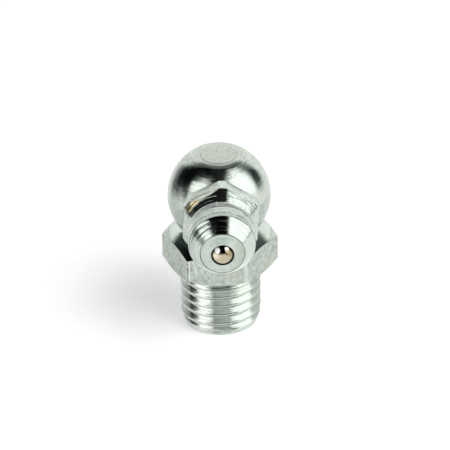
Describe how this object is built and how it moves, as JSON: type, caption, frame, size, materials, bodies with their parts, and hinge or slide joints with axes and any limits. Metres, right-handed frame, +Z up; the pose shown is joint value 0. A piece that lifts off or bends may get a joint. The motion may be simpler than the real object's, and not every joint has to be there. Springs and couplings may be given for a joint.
{
  "type": "grease nipple",
  "caption": "Angled grease nipple with a threaded shank, hexagon flange, ball elbow and a conical head closed by a sprung check ball.",
  "frame": {"origin": "on the thread's axis, in the plane of the flange's underside, where the body seats", "axes": "+Z up along the thread from its end towards the ball; the nipple's head points along -Y"},
  "size_m": [0.0114, 0.0171, 0.0185],
  "materials": {
    "zinc_body": "bright zinc plate on turned steel",
    "zinc_nipple": "bright zinc plate on turned steel, fine tool rings",
    "ball_steel": "polished bearing ball",
    "spring_steel": "drawn spring wire"
  },
  "bodies": {
    "fitting": {"elbow_body": "zinc_body", "nipple_insert": "zinc_nipple", "spring": "spring_steel"},
    "valve": {"check_ball": "ball_steel"}
  },
  "joints": [
    {"name": "ball_lift", "type": "slide", "parent": "fitting", "child": "valve", "axis": [0, 1, 0], "range_m": [0, 0.001], "stiffness_N_per_m": 1600, "deforming": ["spring"]}
  ]
}
